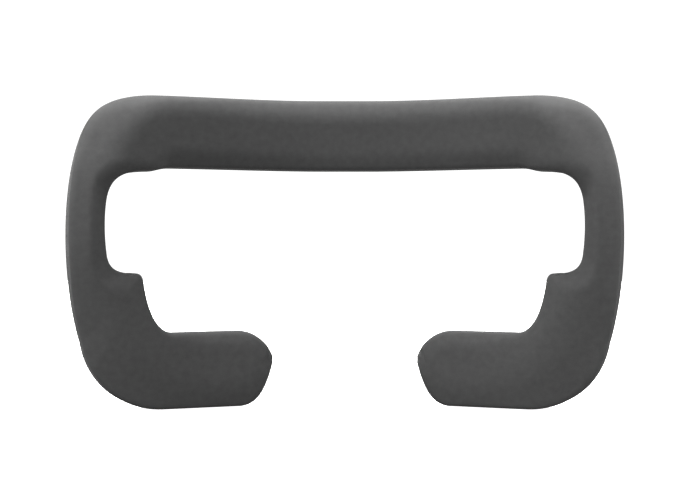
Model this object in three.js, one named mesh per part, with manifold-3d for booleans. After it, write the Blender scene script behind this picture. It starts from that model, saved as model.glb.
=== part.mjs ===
// Face cushion of a pair of goggles: a moulded foam band, shaped like a broad C, that frames the eye
// window and leaves a gap for the nose. A knitted skin covers its front and sides, and a loop-pile
// fabric on its back grips the goggles.
//
// Millimetres. +X is across the face, +Z up the forehead, and the wearer's face is on the -Y side. The
// origin is the middle of the forehead band's back, where the cushion is pressed on to the goggles.

import * as THREE from 'three';
import { mergeVertices } from 'three/addons/utils/BufferGeometryUtils.js';
import Module from 'manifold-3d';

// ---- Driving dimensions ----

// The back is wrapped round a cylinder, so that the temples reach forward round the head. The first
// millimetres each side of the middle stay flat.
const WRAP_RADIUS = 190;
const FLAT_HALF_WIDTH = 10;
// The walls lean towards the middle by this share of the wrap's own slope.
const WALL_LEAN = 0.6;

const THICKNESS = 18; // whole cushion, from its back to its crown
const SKIN = 0.8; // knitted skin
const LAYER_GAP = 0.3; // bonding film between neighbouring layers
const BACKING = 1.2; // loop-pile fabric
const BACKING_INSET = 1.7; // from the cushion's edge to the backing's cut edge

// The crown rounds down to each edge over a width and a drop.
const FOREHEAD_ROUND = { topWidth: 8, topDrop: 8, windowWidth: 4.5, windowDrop: 5 };
const TEMPLE_ROUND = { topWidth: 7, topDrop: 9, windowWidth: 4, windowDrop: 5 };
const CHEEK_ROUND = { topWidth: 4.5, topDrop: 5, windowWidth: 4.5, windowDrop: 5 };
const NOSE_END_ROUND = 5;

// Flat of each cheek pad's back, across X.
const CHEEK_FLAT_FROM = 36;
const CHEEK_FLAT_TO = 52;

const SKIN_COLOUR = 0x4b4b4c;
const FOAM_COLOUR = 0x3b3b3c;
const LOOP_COLOUR = 0x262627;

const TOP_ARC_STEPS = 3;
const WINDOW_ARC_STEPS = 2;

// ---- Outline of the back, right half, looking at the face side ----

const at = (x, z) => new THREE.Vector2(x, z);
const line = (from, to) => new THREE.LineCurve(from, to);
const bend = (from, pull1, pull2, to) => new THREE.CubicBezierCurve(from, pull1, pull2, to);

const outerEdge = [
  bend(at(FLAT_HALF_WIDTH, 10.8), at(28, 10.8), at(46, 11.7), at(62, 12)), // top of the forehead
  bend(at(62, 12), at(65.5, 12.2), at(69, 12.1), at(72, 11.4)),
  bend(at(72, 11.4), at(78.2, 10.2), at(83, 6.9), at(86, -3)), // upper corner
  bend(at(86, -3), at(91.2, -19), at(91, -48), at(85.5, -67.5)), // temple
  bend(at(85.5, -67.5), at(83.5, -79.9), at(74.2, -89.5), at(60, -88.7)), // lower corner
  line(at(60, -88.7), at(CHEEK_FLAT_TO, -88.4)), // bottom of the cheek
  line(at(CHEEK_FLAT_TO, -88.4), at(CHEEK_FLAT_FROM, -88)),
  bend(at(CHEEK_FLAT_FROM, -88), at(28.6, -88.2), at(26.4, -80.5), at(24.4, -74)), // nose end
];

const windowEdge = [
  bend(at(FLAT_HALF_WIDTH, -11.8), at(26, -11.7), at(42, -11.2), at(58, -11.1)), // under the forehead
  bend(at(58, -11.1), at(61, -11.1), at(62, -12.1), at(65, -12.2)), // small step at its end
  bend(at(65, -12.2), at(75.2, -12.4), at(77.9, -15.1), at(78.4, -23)), // upper corner
  bend(at(78.4, -23), at(79, -28.5), at(79.1, -33.5), at(78.5, -38)), // temple
  bend(at(78.5, -38), at(78.2, -43), at(76, -45), at(71, -45)), // lower corner
  bend(at(71, -45), at(68.3, -44.9), at(67.5, -45.4), at(67.1, -49.5)), // cheek's shoulder
  bend(at(67.1, -49.5), at(66, -55), at(64.2, -64), at(57, -64.4)), // hollow beside the cheek
  line(at(57, -64.4), at(CHEEK_FLAT_TO, -64.4)), // top of the cheek
  line(at(CHEEK_FLAT_TO, -64.4), at(CHEEK_FLAT_FROM, -64)),
  bend(at(CHEEK_FLAT_FROM, -64), at(30.4, -63.9), at(26.2, -67.2), at(24.4, -72)), // nose end
];

// Ribs join the two edges. Each stop pairs a place on one edge with a place on the other, as curve number
// plus the share of that curve, and says how many ribs lead up to it and how its crown is rounded.
const stops = [
  { outer: 0, window: 0, steps: 0, round: FOREHEAD_ROUND },
  { outer: 1, window: 1, steps: 4, round: FOREHEAD_ROUND },
  { outer: 2, window: 2, steps: 2, round: FOREHEAD_ROUND },
  { outer: 3, window: 3, steps: 5, round: TEMPLE_ROUND },
  { outer: 3.65, window: 4, steps: 3, round: TEMPLE_ROUND },
  { outer: 4, window: 5, steps: 3, round: TEMPLE_ROUND },
  { outer: 4.25, window: 6, steps: 3, round: TEMPLE_ROUND },
  { outer: 5, window: 7, steps: 5, round: CHEEK_ROUND },
  { outer: 6, window: 8, steps: 1, round: CHEEK_ROUND },
  { outer: 7, window: 9, steps: 1, round: CHEEK_ROUND },
  { outer: 8, window: 10, steps: 7, round: CHEEK_ROUND },
];

// The point at a place on an edge, moved into the foam by an inset. The foam lies to the right of the
// outer edge as it runs from the forehead to the nose end, and to the left of the window edge.
function edgePoint(edge, place, inset, foamSide) {
  const index = Math.min(Math.floor(place), edge.length - 1);
  const share = place - index;
  const point = edge[index].getPoint(share);
  const tangent = edge[index].getTangent(share);
  const inwards = new THREE.Vector2(tangent.y, -tangent.x).multiplyScalar(foamSide);
  return point.addScaledVector(inwards, inset);
}

const mix = (a, b, share) => a + (b - a) * share;

function mixRound(a, b, share) {
  const mixed = {};
  for (const key of Object.keys(a)) {
    mixed[key] = mix(a[key], b[key], share);
  }
  return mixed;
}

// Ribs of the right half, from beside the middle to the nose end, at an inset from both edges.
function rightRibs(inset) {
  const ribs = [];
  const rib = (outer, window, round, atNoseEnd) => ({
    outer: edgePoint(outerEdge, outer, inset, 1),
    window: edgePoint(windowEdge, window, inset, -1),
    round,
    atNoseEnd,
  });
  ribs.push(rib(stops[0].outer, stops[0].window, stops[0].round, false));
  for (let i = 1; i < stops.length; i += 1) {
    const from = stops[i - 1];
    const to = stops[i];
    for (let step = 1; step <= to.steps; step += 1) {
      const share = step / to.steps;
      ribs.push(rib(
        mix(from.outer, to.outer, share),
        mix(from.window, to.window, share),
        mixRound(from.round, to.round, share),
        to === stops.at(-1),
      ));
    }
  }
  return ribs;
}

// All ribs, from the left nose end over the forehead to the right one.
function allRibs(inset) {
  const right = rightRibs(inset);
  const left = right.map((rib) => ({
    ...rib,
    outer: at(-rib.outer.x, rib.outer.y),
    window: at(-rib.window.x, rib.window.y),
  }));
  return [...left.reverse(), ...right];
}

// ---- Wrapping the flat outline round the face ----

function wrapDepth(x) {
  const sag = (across) => WRAP_RADIUS - Math.sqrt(WRAP_RADIUS ** 2 - across ** 2);
  return Math.max(0, sag(x) - sag(FLAT_HALF_WIDTH));
}

// A point of the back's outline, raised towards the face by a height.
function wrapped(point, height) {
  const lean = WALL_LEAN * height * point.x / WRAP_RADIUS;
  return new THREE.Vector3(point.x - lean, -wrapDepth(point.x) - height, point.y);
}

// ---- Sections and the closed solid that joins them ----

// How far the crown has come down near the nose end, where the pad is rounded off.
function noseEndDrop(rib, inset) {
  if (!rib.atNoseEnd) {
    return 0;
  }
  const endX = outerEdge.at(-1).v3.x + inset;
  const fromEnd = Math.abs((rib.outer.x + rib.window.x) / 2) - endX;
  const share = THREE.MathUtils.clamp(fromEnd / (NOSE_END_ROUND - inset), 0, 1);
  return (NOSE_END_ROUND - inset) * (1 - Math.sqrt(1 - (1 - share) ** 2));
}

// Section of a layer with a rounded crown: across the rib from the outer edge, and up from the back.
function roundedSection(rib, inset, base) {
  const width = rib.outer.distanceTo(rib.window);
  const crown = THICKNESS - inset - noseEndDrop(rib, inset);
  const fit = Math.min(1, width / (rib.round.topWidth + rib.round.windowWidth - 2 * inset + 0.5));
  const topWidth = (rib.round.topWidth - inset) * fit;
  const windowWidth = (rib.round.windowWidth - inset) * fit;
  const drop = (full) => Math.max(0.05, full - inset - noseEndDrop(rib, inset));
  const topDrop = drop(rib.round.topDrop);
  const windowDrop = drop(rib.round.windowDrop);
  const points = [[0, base]];
  for (let step = 0; step <= TOP_ARC_STEPS; step += 1) {
    const angle = (step / TOP_ARC_STEPS) * Math.PI / 2;
    points.push([topWidth * (1 - Math.cos(angle)), crown - topDrop * (1 - Math.sin(angle))]);
  }
  for (let step = WINDOW_ARC_STEPS; step >= 0; step -= 1) {
    const angle = (step / WINDOW_ARC_STEPS) * Math.PI / 2;
    points.push([width - windowWidth * (1 - Math.cos(angle)), crown - windowDrop * (1 - Math.sin(angle))]);
  }
  points.push([width, base]);
  return points;
}

// Section of a plain sheet between two heights.
function sheetSection(rib, base, top) {
  const width = rib.outer.distanceTo(rib.window);
  return [[0, base], [0, top], [width, top], [width, base]];
}

// A closed solid through one section on each rib, capped at both nose ends.
function bandGeometry(ribs, sectionOf) {
  const rings = ribs.map((rib) => {
    const width = rib.outer.distanceTo(rib.window);
    return sectionOf(rib).map(([across, height]) => (
      wrapped(rib.outer.clone().lerp(rib.window, across / width), height)
    ));
  });
  const size = rings[0].length;
  const triangles = [];
  for (let r = 0; r + 1 < rings.length; r += 1) {
    for (let i = 0; i < size; i += 1) {
      const next = (i + 1) % size;
      triangles.push(rings[r][i], rings[r][next], rings[r + 1][next]);
      triangles.push(rings[r][i], rings[r + 1][next], rings[r + 1][i]);
    }
  }
  const first = rings[0];
  const last = rings.at(-1);
  for (let i = 1; i + 1 < size; i += 1) {
    triangles.push(first[0], first[i + 1], first[i]);
    triangles.push(last[0], last[i], last[i + 1]);
  }
  const flat = triangles.flatMap((point) => point.toArray());
  const geometry = new THREE.BufferGeometry();
  geometry.setAttribute('position', new THREE.Float32BufferAttribute(flat, 3));
  return mergeVertices(geometry, 1e-4);
}

// ---- Joining and cutting ----

const wasm = await Module();
wasm.setup();

function solidOf(geometry) {
  return new wasm.Manifold(new wasm.Mesh({
    numProp: 3,
    vertProperties: geometry.attributes.position.array,
    triVerts: Uint32Array.from(geometry.index.array),
  }));
}

function geometryOf(solid) {
  const mesh = solid.getMesh();
  const geometry = new THREE.BufferGeometry();
  geometry.setAttribute('position', new THREE.BufferAttribute(mesh.vertProperties, 3));
  geometry.setIndex(new THREE.BufferAttribute(mesh.triVerts, 1));
  geometry.computeVertexNormals();
  return geometry;
}

// ---- Pieces ----

// Knitted skin over the front and the side walls, open at the back.
function faceFabric() {
  const outside = bandGeometry(allRibs(0), (rib) => roundedSection(rib, 0, 0));
  const inside = bandGeometry(allRibs(SKIN), (rib) => roundedSection(rib, SKIN, -1));
  return geometryOf(solidOf(outside).subtract(solidOf(inside)));
}

// Moulded foam that fills the skin, down to just above the backing.
function foamCore() {
  const inset = SKIN + LAYER_GAP;
  return bandGeometry(allRibs(inset), (rib) => roundedSection(rib, inset, BACKING + LAYER_GAP));
}

// Loop-pile sheet across the back.
function loopBacking() {
  return bandGeometry(allRibs(BACKING_INSET), (rib) => sheetSection(rib, 0, BACKING));
}

function piece(name, geometry, colour) {
  geometry.computeVertexNormals();
  const material = new THREE.MeshStandardMaterial({ color: colour, roughness: 0.95, metalness: 0 });
  const mesh = new THREE.Mesh(geometry, material);
  mesh.name = name;
  return mesh;
}

const group = new THREE.Group();
group.add(piece('face_fabric', faceFabric(), SKIN_COLOUR));
group.add(piece('foam_core', foamCore(), FOAM_COLOUR));
group.add(piece('loop_backing', loopBacking(), LOOP_COLOUR));

export default group;
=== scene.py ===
import math

import bpy
import numpy as np
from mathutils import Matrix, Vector


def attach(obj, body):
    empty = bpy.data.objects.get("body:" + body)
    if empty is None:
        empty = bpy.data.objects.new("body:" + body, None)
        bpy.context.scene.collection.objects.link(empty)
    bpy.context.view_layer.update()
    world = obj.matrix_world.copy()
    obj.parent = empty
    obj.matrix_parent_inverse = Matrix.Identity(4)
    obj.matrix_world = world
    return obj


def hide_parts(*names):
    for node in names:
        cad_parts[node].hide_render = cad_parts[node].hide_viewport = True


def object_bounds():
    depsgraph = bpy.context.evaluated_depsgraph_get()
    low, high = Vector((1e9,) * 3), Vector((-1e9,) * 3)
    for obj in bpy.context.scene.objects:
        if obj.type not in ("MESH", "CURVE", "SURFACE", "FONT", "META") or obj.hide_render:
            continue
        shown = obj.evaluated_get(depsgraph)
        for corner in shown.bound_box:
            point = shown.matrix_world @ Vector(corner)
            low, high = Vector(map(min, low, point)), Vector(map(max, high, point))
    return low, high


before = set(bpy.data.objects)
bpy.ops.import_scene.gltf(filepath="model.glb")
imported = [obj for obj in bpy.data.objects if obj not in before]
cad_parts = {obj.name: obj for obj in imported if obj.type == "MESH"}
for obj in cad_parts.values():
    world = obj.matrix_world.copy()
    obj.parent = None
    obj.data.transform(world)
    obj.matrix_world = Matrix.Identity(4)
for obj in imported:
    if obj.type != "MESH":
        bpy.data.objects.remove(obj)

cad_low, cad_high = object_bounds()

# =====================================================================================================
# The foam core. One piece of soft polyurethane foam, moulded as a broad C that frames the eyes and stops
# short of the nose. Its back is wrapped round the face, and its crown is rounded down to every edge: gently
# over the brow, on a long slope at the upper corners, and steeply down the temples.
# =====================================================================================================

MM = 0.001  # all sizes of the cushion's shape are in millimetres
THICKNESS = 18.0  # whole cushion, from its back to its crown
SKIN = 0.8  # face fabric
FILM = 0.3  # adhesive between two layers
BACKING = 1.2  # loop fabric on the back
WRAP_RADIUS = 190.0  # bend of the back round the face
WRAP_BLEND = 0.15  # softens the start of that bend
FLAT_HALF_WIDTH = 10.0  # the back is flat this far out from the middle
WALL_LEAN = 0.6  # share of the bend that the walls follow

# Right half of the back's outline, looking at the face side: x across, z up. Four points are a curve with
# two pulls, and two points are a straight stretch.
outer_edge = [
    [(0, 10.8), (10, 10.8)],
    [(10, 10.8), (28, 10.8), (46, 11.7), (62, 12)],  # top of the forehead
    [(62, 12), (65.5, 12.2), (69, 12.1), (72, 11.4)],
    [(72, 11.4), (78.2, 10.2), (83, 6.9), (86, -3)],  # upper corner
    [(86, -3), (91.2, -19), (91, -48), (85.5, -67.5)],  # temple
    [(85.5, -67.5), (83.5, -79.9), (74.2, -89.5), (60, -88.7)],  # lower corner
    [(60, -88.7), (36, -88)],  # bottom of the cheek
    [(36, -88), (28.6, -88.2), (26.4, -80.5), (24.4, -74)],  # nose end
]
window_edge = [
    [(0, -11.8), (10, -11.8)],
    [(10, -11.8), (26, -11.7), (42, -11.2), (58, -11.1)],  # under the forehead
    [(58, -11.1), (61, -11.1), (62, -12.1), (65, -12.2)],  # small step at its end
    [(65, -12.2), (75.2, -12.4), (77.9, -15.1), (78.4, -23)],  # upper corner
    [(78.4, -23), (79, -28.5), (79.1, -33.5), (78.5, -38)],  # temple
    [(78.5, -38), (78.2, -43), (76, -45), (71, -45)],  # lower corner
    [(71, -45), (68.3, -44.9), (67.5, -45.4), (67.1, -49.5)],  # cheek's shoulder
    [(67.1, -49.5), (66, -55), (64.2, -64), (57, -64.4)],  # hollow beside the cheek
    [(57, -64.4), (36, -64)],  # top of the cheek
    [(36, -64), (30.4, -63.9), (26.2, -67.2), (24.4, -72)],  # nose end
]

# The crest: the line from which the crown slopes down to the outer edge. Over the brow it follows the top
# edge, then it cuts across the upper corner to the window's side and runs down the temple into the cheek.
crest_line = [
    [(0, 5.4), (22, 5.6), (40, 6.8), (50, 7.4)],
    [(50, 7.4), (58, 7.9), (64, 8.0), (68, 5)],
    [(68, 5), (71.5, 2), (74, -3), (76.5, -8)],
    [(76.5, -8), (80, -14.5), (81, -22), (81.2, -34)],
    [(81.2, -34), (81.2, -44), (78, -54.5), (71.5, -65)],
    [(71.5, -65), (65, -75.8), (56.5, -81.2), (42, -81.8)],
    [(42, -81.8), (34, -81.8), (29.5, -80), (27.5, -74)],
]
CREST_STEPS = 120
PAST_MIDDLE = 10.0  # how far the crest runs on beyond the middle of the brow

# Ribs run across the band. Each stop pairs a place on the outer edge with one on the window edge, as curve
# number plus share, and says how many ribs lead up to it. Then comes the slope beyond the crest: its
# steepness, the width of the bend into it, and the radius of the outer edge. Last comes the slope to the
# window: how far from that edge it starts, its steepness, the width of its bend, and the radius of the edge.
stops = [
    (0.0, 0.0, 0, (0.74, 3.2, 1.8), (4.2, 0.42, 1.6, 1.3)),
    (1.0, 1.0, 8, (0.74, 3.2, 1.8), (4.2, 0.42, 1.6, 1.3)),
    (1.6, 1.6, 28, (0.70, 2.8, 1.5), (5.0, 0.55, 1.8, 1.3)),
    (2.0, 2.0, 18, (0.80, 3.6, 2.4), (5.2, 0.60, 1.8, 1.3)),
    (2.5, 2.5, 6, (1.00, 4.0, 4.0), (3.6, 0.50, 1.6, 1.3)),
    (3.0, 3.0, 6, (1.03, 4.4, 4.0), (2.4, 0.55, 1.4, 1.3)),
    (3.5, 3.5, 17, (1.08, 5.0, 3.8), (3.2, 1.10, 1.8, 1.3)),
    (4.0, 4.0, 17, (1.25, 6.0, 2.4), (4.4, 1.70, 2.2, 1.3)),
    (4.2, 4.3, 8, (1.25, 4.5, 1.7), (4.2, 1.70, 2.2, 1.3)),
    (4.45, 4.7, 9, (1.10, 4.5, 1.6), (4.0, 1.50, 2.0, 1.3)),
    (4.65, 5.0, 9, (1.00, 6.0, 1.6), (4.4, 1.30, 2.0, 1.3)),
    (4.85, 5.6, 10, (0.90, 7.0, 1.6), (5.4, 0.95, 2.6, 1.3)),
    (5.0, 6.0, 8, (0.80, 7.5, 1.5), (4.2, 0.45, 3.0, 1.3)),
    (5.25, 7.0, 18, (0.62, 6.5, 1.4), (3.6, 0.40, 2.6, 1.3)),
    (6.0, 8.0, 32, (0.34, 4.5, 1.3), (2.4, 0.45, 1.8, 1.3)),
    (6.4, 8.4, 8, (0.38, 3.5, 1.3), (4.0, 0.70, 1.8, 1.3)),
    (7.0, 9.0, 16, (0.42, 3.2, 1.3), (4.0, 0.70, 1.8, 1.3)),
    (8.0, 10.0, 36, (0.50, 2.5, 1.3), (3.6, 0.55, 2.0, 1.3)),
]
SMOOTHING_PASSES = 10  # evens the slopes out from rib to rib
LOWEST_RIM = 2.9  # the crown levels off towards this height at the corners
LEVELLING = 0.6  # how softly it does so

# Places of the ribs' points: close together on the roundings at both ends, and even between them.
ROUND_PITCHES = (0.12, 0.18, 0.25, 0.35, 0.45, 0.55, 0.65, 0.75, 0.85, 0.95, 1.0, 1.0)
ROUND_SHARE = 0.36  # most of a narrow rib that one rounding may take
FLAT_STEPS = 12
WALL_RINGS = 10


def curve_at(edge, places):
    """Points and directions of an edge at places given as curve number plus share."""
    points = []
    along = []
    for place in places:
        index = min(int(place), len(edge) - 1)
        t = place - index
        pull = [np.array(p, float) for p in edge[index]]
        if len(pull) == 2:
            points.append(pull[0] * (1 - t) + pull[1] * t)
            along.append(pull[1] - pull[0])
        else:
            a, b, c, d = pull
            points.append(a * (1 - t) ** 3 + b * 3 * t * (1 - t) ** 2 + c * 3 * t * t * (1 - t) + d * t ** 3)
            along.append((b - a) * (1 - t) ** 2 + (c - b) * 2 * t * (1 - t) + (d - c) * t * t)
    along = np.array(along)
    along /= np.linalg.norm(along, axis=1)[:, None]
    return np.array(points), along


def rib_plan():
    """Places on the outer and the window edge, and the slopes, one row for each rib of the right half."""
    stop_rows = [np.concatenate([stop[:2], *stop[3:]]) for stop in stops]
    rows = [stop_rows[0]]
    for before, after, stop in zip(stop_rows, stop_rows[1:], stops[1:]):
        count = stop[2]
        for step in range(1, count + 1):
            share = step / count
            rows.append(before + (after - before) * share)
    rows = np.array(rows)
    slopes = rows[:, 2:]
    for _ in range(SMOOTHING_PASSES):
        slopes[1:-1] = (slopes[:-2] + 2 * slopes[1:-1] + slopes[2:]) / 4
    return rows[:, 0], rows[:, 1], slopes


def rib_points(outer, window):
    """Points across the band, one row for each rib, from the outer edge to the window edge."""
    near = np.concatenate([[0.0], np.cumsum(ROUND_PITCHES)])
    rows = []
    for a, b in zip(outer, window):
        width = np.linalg.norm(b - a)
        ends = near * min(1.0, ROUND_SHARE * width / near[-1])
        middle = np.linspace(ends[-1], width - ends[-1], FLAT_STEPS + 1)[1:-1]
        across = np.concatenate([ends, middle, width - ends[::-1]]) / width
        rows.append(a + (b - a) * across[:, None])
    return np.array(rows)


def distance_past(line, points):
    """Distance from each point to a chain of stretches, positive on the left of its direction of travel."""
    nearest = np.full(len(points), np.inf)
    side = np.ones(len(points))
    for a, b in zip(line, line[1:]):
        step = b - a
        away = points - a
        t = np.clip(away @ step / (step @ step), 0, 1)
        distance = np.linalg.norm(away - t[:, None] * step, axis=1)
        left = np.where(step[0] * away[:, 1] - step[1] * away[:, 0] >= 0, 1.0, -1.0)
        side = np.where(distance < nearest, left, side)
        nearest = np.minimum(nearest, distance)
    return nearest * side


def slope_down(past, steepness, bend):
    """How far the crown has come down: level, then a smooth bend, then an even slope."""
    in_bend = (past + bend) ** 2 / (4 * bend)
    return steepness * np.where(past > bend, past, np.where(past > -bend, in_bend, 0.0))


def round_down(distance, radius):
    """How far the small quarter round has come down along the very edge."""
    u = np.clip(distance / radius, 0, 1)
    return radius * (1 - np.sqrt(1 - (1 - u) ** 2))


def crown_height(flat, outer, window, slopes):
    """Height of the crown above the back at the ribs' points."""
    points = flat.reshape(-1, 2)
    tip = (outer[-1] + window[-1]) / 2
    crest, _ = curve_at(crest_line, np.linspace(0, len(crest_line), CREST_STEPS))
    crest = np.vstack([crest[:1] - [PAST_MIDDLE, 0], crest])
    to_outer = np.abs(distance_past(np.vstack([outer, tip]), points)).reshape(flat.shape[:2])
    to_window = np.abs(distance_past(np.vstack([window, tip]), points)).reshape(flat.shape[:2])
    past_crest = distance_past(crest, points).reshape(flat.shape[:2])
    steep, bend, radius, window_start, window_steep, window_bend, window_radius = slopes.T[:, :, None]
    fall = slope_down(past_crest, steep, bend) + round_down(to_outer, radius)
    fall += slope_down(window_start - to_window, window_steep, window_bend)
    fall += round_down(to_window, window_radius)
    spare = THICKNESS - fall - LOWEST_RIM
    return LOWEST_RIM + (spare + np.sqrt(spare ** 2 + LEVELLING)) / 2


def both_halves(half, flip=1):
    """The mirrored left half, then the right half, with the middle rib once."""
    return np.concatenate([(half * flip)[:0:-1], half])


def band(inset):
    """Ribs over the whole cushion: points on the flat outline, heights, and outward directions."""
    outer_places, window_places, slopes = rib_plan()
    outer, outer_along = curve_at(outer_edge, outer_places)
    window, window_along = curve_at(window_edge, window_places)
    outer_out = np.stack([-outer_along[:, 1], outer_along[:, 0]], 1)
    window_out = np.stack([window_along[:, 1], -window_along[:, 0]], 1)
    outer = outer - outer_out * inset
    window = window - window_out * inset
    flat = rib_points(outer, window)
    height = crown_height(flat, outer, window, slopes)
    to_left = np.array([-1, 1])
    return (
        both_halves(flat, to_left),
        both_halves(height),
        both_halves(outer_out, to_left),
        both_halves(window_out, to_left),
    )


def wrapped(flat, height):
    """Bends flat outline points at a height above the back round the face. Metres."""
    x, z = flat[..., 0], flat[..., 1]
    sag = WRAP_RADIUS - np.sqrt(WRAP_RADIUS ** 2 - x ** 2)
    rise = sag - (WRAP_RADIUS - math.sqrt(WRAP_RADIUS ** 2 - FLAT_HALF_WIDTH ** 2))
    depth = (rise + np.sqrt(rise ** 2 + WRAP_BLEND ** 2)) / 2
    lean = WALL_LEAN * height * x / WRAP_RADIUS
    return np.stack([x - lean, -depth - height, z], -1) * MM


def rim_loop(grid):
    """What lies round the rim of a grid of ribs, as one closed loop."""
    return np.concatenate([grid[:, 0], grid[-1, 1:], grid[-2::-1, -1], grid[0, -2:0:-1]])


def numbered(shape, first=0):
    """A grid of point numbers."""
    return first + np.arange(shape[0] * shape[1]).reshape(shape)


def grid_faces(number, turned=False):
    """Four-cornered faces of a grid of point numbers, facing the wearer, or the back if turned."""
    corners = np.stack([number[:-1, :-1], number[:-1, 1:], number[1:, 1:], number[1:, :-1]], -1)
    order = -1 if turned else 1
    return [tuple(face[::order]) for face in corners.reshape(-1, 4).tolist()]


def faces_between(upper, lower):
    """Four-cornered faces that join two closed loops of point numbers."""
    corners = np.stack([upper, np.roll(upper, -1), np.roll(lower, -1), lower], -1)
    return [tuple(face) for face in corners.tolist()]


def wall_rings(foot):
    """Rings of points down the walls to a level above the back, each as an outline and its levels."""
    shares = np.arange(1, WALL_RINGS + 1) / WALL_RINGS
    return [(rim_flat, rim_height + (foot - rim_height) * share) for share in shares]


def cushion_surface(rings):
    """Points and faces of the finished cushion's front and of rings that carry it on, and the last ring."""
    number = numbered(face_height.shape)
    points = [wrapped(face_flat, face_height).reshape(-1, 3)]
    faces = grid_faces(number)
    upper = rim_loop(number)
    first = face_height.size
    for ring_flat, level in rings:
        points.append(wrapped(ring_flat, level))
        lower = np.arange(first, first + len(upper))
        faces += faces_between(upper, lower)
        upper = lower
        first += len(lower)
    return np.vstack(points), faces, upper


def moved_in(points, faces, depth):
    """The same surface, moved inwards along its normals."""
    corners = points[np.array(faces)]
    facing = np.cross(corners[:, 2] - corners[:, 0], corners[:, 3] - corners[:, 1])
    normals = np.zeros_like(points)
    for corner in range(4):
        np.add.at(normals, np.array(faces)[:, corner], facing)
    normals /= np.linalg.norm(normals, axis=1)[:, None]
    return points - normals * depth * MM


def make_piece(name, points, faces, material):
    """A smooth-shaded object from points in metres and faces."""
    mesh = bpy.data.meshes.new(name)
    mesh.from_pydata(points.tolist(), [], faces)
    mesh.validate()
    mesh.polygons.foreach_set("use_smooth", [True] * len(mesh.polygons))
    mesh.materials.append(material)
    mesh.update()
    piece = bpy.data.objects.new(name, mesh)
    bpy.context.scene.collection.objects.link(piece)
    return piece


class Finish:
    """A matt surface, built from nodes."""

    def __init__(self, name, roughness):
        self.material = bpy.data.materials.new(name)
        self.material.use_nodes = True
        self.tree = self.material.node_tree
        self.surface = self.tree.nodes["Principled BSDF"]
        self.surface.inputs["Roughness"].default_value = roughness

    def add(self, kind, **settings):
        node = self.tree.nodes.new(kind)
        for key, value in settings.items():
            setattr(node, key, value)
        return node

    def join(self, source, target):
        self.tree.links.new(source, target)

    def work_out(self, operation, a, b=None):
        node = self.add("ShaderNodeMath", operation=operation)
        for socket, value in zip(node.inputs, (a, b)):
            if isinstance(value, (int, float)):
                socket.default_value = value
            elif value is not None:
                self.join(value, socket)
        return node.outputs[0]

    def noise(self, where, per_metre, detail, roughness=0.5):
        node = self.add("ShaderNodeTexNoise")
        node.inputs["Scale"].default_value = per_metre
        node.inputs["Detail"].default_value = detail
        node.inputs["Roughness"].default_value = roughness
        self.join(where, node.inputs["Vector"])
        return node.outputs["Fac"]

    def cells(self, where, per_metre, feature):
        node = self.add("ShaderNodeTexVoronoi", feature=feature)
        node.inputs["Scale"].default_value = per_metre
        self.join(where, node.inputs["Vector"])
        return node.outputs["Distance"]

    def colour(self, factor, dark_at, dark, pale_at, pale):
        node = self.add("ShaderNodeValToRGB")
        low, high = node.color_ramp.elements
        low.position = dark_at
        low.color = (*dark, 1)
        high.position = pale_at
        high.color = (*pale, 1)
        self.join(factor, node.inputs["Fac"])
        self.join(node.outputs["Color"], self.surface.inputs["Base Color"])

    def sheen(self, weight, roughness):
        self.surface.inputs["Sheen Weight"].default_value = weight
        self.surface.inputs["Sheen Roughness"].default_value = roughness

    def bump(self, height, distance, strength=1.0):
        node = self.add("ShaderNodeBump")
        node.inputs["Distance"].default_value = distance
        node.inputs["Strength"].default_value = strength
        self.join(height, node.inputs["Height"])
        self.join(node.outputs["Normal"], self.surface.inputs["Normal"])


FOAM_DARK = (0.012, 0.012, 0.0125)
FOAM_PALE = (0.06, 0.06, 0.061)
PORES_PER_METRE = 2400.0


def foam_finish():
    """Open-cell foam: dark grey, with pores of about 0.4 mm."""
    finish = Finish("moulded_foam", roughness=0.95)
    where = finish.add("ShaderNodeTexCoord").outputs["Object"]
    cells = finish.cells(where, PORES_PER_METRE, "F1")
    tone = finish.work_out("MULTIPLY", finish.noise(where, 160.0, 3.0), 0.5)
    pores = finish.work_out("ADD", finish.work_out("MULTIPLY", cells, 0.9), tone)
    finish.colour(pores, 0.2, FOAM_DARK, 0.9, FOAM_PALE)
    finish.surface.inputs["Specular IOR Level"].default_value = 0.2
    finish.bump(pores, 0.2 * MM)
    return finish.material


face_flat, face_height, outer_out, window_out = band(0.0)
rim_flat = rim_loop(face_flat)
rim_height = rim_loop(face_height)

# The foam lies one film deeper than the adhesive needs, so that its narrow nose ends stay clear of the knit.
foam_points, foam_faces, foot = cushion_surface(wall_rings(BACKING + FILM))
foam_points = moved_in(foam_points, foam_faces, SKIN + 2 * FILM)
under_flat = band(SKIN + FILM)[0]
ribs, columns = under_flat.shape[:2]
under = wrapped(under_flat, np.full((ribs, columns), BACKING + FILM))
foam_points[foot] = rim_loop(under)
under_number = np.zeros((ribs, columns), int)
under_number.flat[rim_loop(numbered((ribs, columns)))] = foot
under_number[1:-1, 1:-1] = numbered((ribs - 2, columns - 2), first=len(foam_points))
foam_points = np.vstack([foam_points, under[1:-1, 1:-1].reshape(-1, 3)])
foam_faces += grid_faces(under_number, turned=True)
foam = make_piece("foam_body", foam_points, foam_faces, foam_finish())
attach(foam, "root")
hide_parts("foam_core")

# =====================================================================================================
# The face fabric. A thin, fine knit with a short brushed nap, bonded over the foam's front and walls while
# the foam is moulded, so it lies without a crease. Its cut edge is turned in round the back's rim.
# =====================================================================================================

TURN_IN = 0.9  # radius of the turned edge, and how far it reaches in
TURN_STEPS = 5
STITCH_WIDTH = 0.46
STITCH_HEIGHT = 0.34
KNIT_DARK = (0.040, 0.040, 0.040)
KNIT_PALE = (0.066, 0.066, 0.066)
NAP_TINT = (0.85, 0.85, 0.85, 1)


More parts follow.
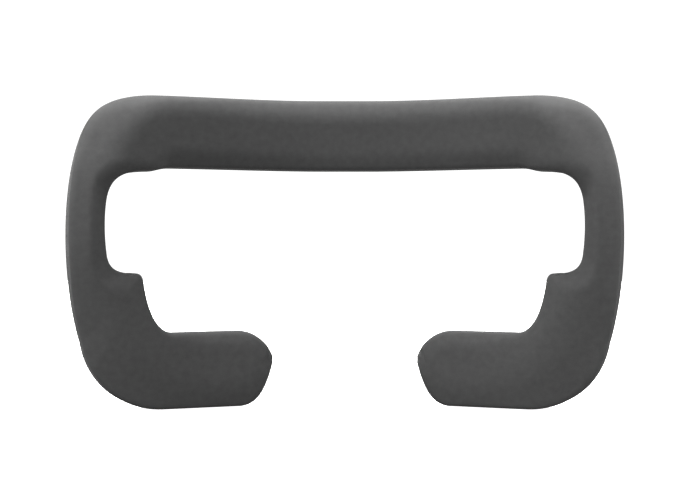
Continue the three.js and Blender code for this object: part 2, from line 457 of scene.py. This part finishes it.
def knit_finish():
    """Dark grey knit: chevrons of yarn, a fuzzy nap that catches light from the side, and faint mottling."""
    finish = Finish("brushed_knit", roughness=0.92)
    cloth = finish.add("ShaderNodeUVMap", uv_map="cloth").outputs["UV"]
    parts = finish.add("ShaderNodeSeparateXYZ")
    finish.join(cloth, parts.inputs["Vector"])
    across = finish.work_out("DIVIDE", parts.outputs["X"], STITCH_WIDTH * MM)
    along = finish.work_out("DIVIDE", parts.outputs["Y"], STITCH_HEIGHT * MM)
    side = finish.work_out("PINGPONG", across, 0.5)
    slant = finish.work_out("ADD", along, side)
    yarn = finish.work_out("SINE", finish.work_out("MULTIPLY", slant, 2 * math.pi))
    column = finish.work_out("SINE", finish.work_out("MULTIPLY", side, 2 * math.pi))
    stitches = finish.work_out("MULTIPLY", finish.work_out("ADD", yarn, 1.4), column)
    stitches = finish.work_out("MULTIPLY", stitches, 0.4)
    fuzz = finish.noise(cloth, 5200.0, 3.0, 0.65)
    mottle = finish.noise(cloth, 420.0, 4.0, 0.55)
    patches = finish.noise(cloth, 38.0, 2.0)
    nap = finish.work_out("ADD", finish.work_out("MULTIPLY", stitches, 0.5), fuzz)
    tone = finish.work_out("MULTIPLY", nap, 0.38)
    tone = finish.work_out("ADD", tone, finish.work_out("MULTIPLY", mottle, 0.34))
    tone = finish.work_out("ADD", tone, finish.work_out("MULTIPLY", patches, 0.18))
    finish.colour(tone, 0.3, KNIT_DARK, 0.7, KNIT_PALE)
    finish.surface.inputs["Specular IOR Level"].default_value = 0.25
    finish.sheen(0.12, 0.45)
    finish.surface.inputs["Sheen Tint"].default_value = NAP_TINT
    finish.bump(nap, 0.06 * MM, 0.6)
    return finish.material


def turning(start, end, count):
    """Directions that turn evenly from one to another."""
    share = np.linspace(0, 1, count)[:, None]
    mixed = start * (1 - share) + end * share
    return mixed / np.linalg.norm(mixed, axis=1)[:, None]


right_nose_out = turning(outer_out[-1], window_out[-1], face_height.shape[1])
left_nose_out = turning(outer_out[0], window_out[0], face_height.shape[1])
rim_out = np.concatenate([outer_out, right_nose_out[1:], window_out[-2::-1], left_nose_out[-2:0:-1]])

# The rings go on round the turned edge. The lay is where each point is in the cloth laid out flat.
knit_rings = wall_rings(TURN_IN)
lay = [face_flat.reshape(-1, 2)]
lay += [rim_flat + rim_out * (rim_height - level)[:, None] for _, level in knit_rings]
for step in range(1, TURN_STEPS + 1):
    angle = math.pi / 2 * step / TURN_STEPS
    turned_flat = rim_flat - rim_out * TURN_IN * (1 - math.cos(angle))
    turned_level = np.full(len(rim_flat), TURN_IN * (1 - math.sin(angle)))
    knit_rings.append((turned_flat, turned_level))
    lay.append(rim_flat + rim_out * (rim_height - TURN_IN + TURN_IN * angle)[:, None])
knit_points, knit_faces, _ = cushion_surface(knit_rings)
knit = make_piece("face_knit", knit_points, knit_faces, knit_finish())
cloth_map = knit.data.uv_layers.new(name="cloth")
corner_points = np.empty(len(knit.data.loops), int)
knit.data.loops.foreach_get("vertex_index", corner_points)
cloth_map.data.foreach_set("uv", (np.vstack(lay) * MM)[corner_points].ravel())
shell = knit.modifiers.new("knit_thickness", "SOLIDIFY")
shell.thickness = SKIN * MM
shell.offset = -1.0
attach(knit, "root")
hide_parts("face_fabric")

# =====================================================================================================
# The loop backing. A brushed loop-pile fabric cut to the outline and bonded flat to the foam's back, where
# it grips the hook strips of the goggles. Its edge is cut a little way inside the turned knit.
# =====================================================================================================

BACKING_INSET = 1.7
PILE = 0.16  # height of the pile's tufts
PILE_SEED = 7
PILE_DARK = (0.010, 0.010, 0.0105)
PILE_PALE = (0.042, 0.042, 0.043)
LOOPS_PER_METRE = 1300.0


def loop_finish():
    """Nearly black brushed loops, with a soft random tangle."""
    finish = Finish("loop_pile", roughness=0.9)
    where = finish.add("ShaderNodeTexCoord").outputs["Object"]
    tangle = finish.noise(where, 1700.0, 4.0, 0.7)
    curls = finish.cells(where, LOOPS_PER_METRE, "SMOOTH_F1")
    pile = finish.work_out("ADD", tangle, finish.work_out("MULTIPLY", curls, 0.6))
    finish.colour(pile, 0.35, PILE_DARK, 0.95, PILE_PALE)
    finish.surface.inputs["Specular IOR Level"].default_value = 0.3
    finish.sheen(0.35, 0.4)
    finish.bump(pile, 0.25 * MM)
    return finish.material


# Each tuft ends a random little way short of the back's plane, and the cut edge a whole tuft short of it.
pile_flat = band(BACKING_INSET)[0]
ribs, columns = pile_flat.shape[:2]
short_of_back = np.random.default_rng(PILE_SEED).random((ribs, columns)) * PILE
short_of_back[:, [0, -1]] = PILE
short_of_back[[0, -1]] = PILE
pile_points = wrapped(pile_flat, short_of_back).reshape(-1, 3)
glued_points = wrapped(pile_flat, np.full((ribs, columns), BACKING)).reshape(-1, 3)
pile_number = numbered((ribs, columns))
glued_number = numbered((ribs, columns), first=len(pile_points))
pile_faces = grid_faces(pile_number, turned=True) + grid_faces(glued_number)
pile_faces += faces_between(rim_loop(glued_number), rim_loop(pile_number))
backing = make_piece("loop_pile_back", np.vstack([pile_points, glued_points]), pile_faces, loop_finish())
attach(backing, "root")
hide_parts("loop_backing")

# =====================================================================================================
# The studio. The cushion stands on its cheeks on a white table that neither shows nor casts a shadow, in a
# white room. Broad lights come from above and from the left. Panels fill in from low down on both sides and
# from above on the right.
# =====================================================================================================

TABLE_HALF = 3.0
TABLE_GAP = 0.0002  # between the cushion and the table
FULL_WHITE = 1.2
LIGHT_SPREAD = 30  # degrees that a broad light takes up, seen from the cushion

scene = bpy.context.scene
scene.view_settings.view_transform = "Standard"

table_level = cad_low[2] - TABLE_GAP
table_mesh = bpy.data.meshes.new("table")
table_mesh.from_pydata(
    [(x * TABLE_HALF, y * TABLE_HALF, table_level) for x, y in ((-1, -1), (1, -1), (1, 1), (-1, 1))],
    [],
    [(0, 1, 2, 3)],
)
table = bpy.data.objects.new("table", table_mesh)
scene.collection.objects.link(table)
white = Finish("white_table", roughness=0.9)
white.surface.inputs["Base Color"].default_value = (0.8, 0.8, 0.8, 1)
white.surface.inputs["Emission Color"].default_value = (1, 1, 1, 1)
white.surface.inputs["Emission Strength"].default_value = FULL_WHITE
table_mesh.materials.append(white.material)
table.visible_diffuse = False
table.visible_glossy = False
table.visible_shadow = False

# The room looks white but gives no light of its own.
world = bpy.data.worlds.new("white_room")
scene.world = world
world.use_nodes = True
room = world.node_tree
path = room.nodes.new("ShaderNodeLightPath")
seen = room.nodes.new("ShaderNodeMath")
seen.operation = "MULTIPLY"
seen.inputs[1].default_value = FULL_WHITE
walls = room.nodes["Background"]
walls.inputs["Color"].default_value = (1, 1, 1, 1)
room.links.new(path.outputs["Is Camera Ray"], seen.inputs[0])
room.links.new(seen.outputs["Value"], walls.inputs["Strength"])


def hang_lamp(name, kind, power, place, towards_lamp):
    """A lamp at a place, turned so that its light comes from the given direction."""
    lamp = bpy.data.lights.new(name, kind)
    lamp.energy = power
    holder = bpy.data.objects.new(name, lamp)
    holder.location = place
    holder.rotation_mode = "QUATERNION"
    holder.rotation_quaternion = towards_lamp.to_track_quat("Z", "Y")
    scene.collection.objects.link(holder)
    return lamp


def panel(name, place, size, power):
    """A square soft panel, aimed at the cushion's middle."""
    middle = (cad_low + cad_high) / 2
    lamp = hang_lamp(name, "AREA", power, place, Vector(place) - middle)
    lamp.shape = "SQUARE"
    lamp.size = size


def broad_light(name, side, height, power):
    """A broad soft light far away, at an angle to the side of straight ahead and above the table."""
    side = math.radians(side)
    height = math.radians(height)
    level = math.cos(height)
    towards = Vector((math.sin(side) * level, -math.cos(side) * level, math.sin(height)))
    lamp = hang_lamp(name, "SUN", power, (0, 0, 0), towards)
    lamp.angle = math.radians(LIGHT_SPREAD)


broad_light("left_high", -75, 40, 1.8)
broad_light("left_low", -75, 10, 1.2)
broad_light("front_left", -40, 40, 1.6)
broad_light("overhead_back", -150, 75, 7.5)
panel("low_right", (0.45, -0.45, -0.15), 0.3, 3.2)
panel("low_left", (-0.45, -0.45, -0.15), 0.3, 0.7)
panel("top_right", (0.25, 0.0, 0.20), 0.2, 0.8)

# The camera looks straight at the face side, level with the middle of the cushion.
CAMERA_DISTANCE = 0.750
CAMERA_SIDE = 0.0007
CAMERA_HEIGHT = -0.0376
FIELD_WIDTH = 0.2293  # width of the view at the cushion's back
eye = bpy.data.cameras.new("camera")
eye.sensor_width = 36.0
eye.lens = eye.sensor_width * CAMERA_DISTANCE / FIELD_WIDTH
camera = bpy.data.objects.new("camera", eye)
camera.location = (CAMERA_SIDE, -CAMERA_DISTANCE, CAMERA_HEIGHT)
camera.rotation_euler = (math.pi / 2, 0, 0)
scene.collection.objects.link(camera)
scene.camera = camera
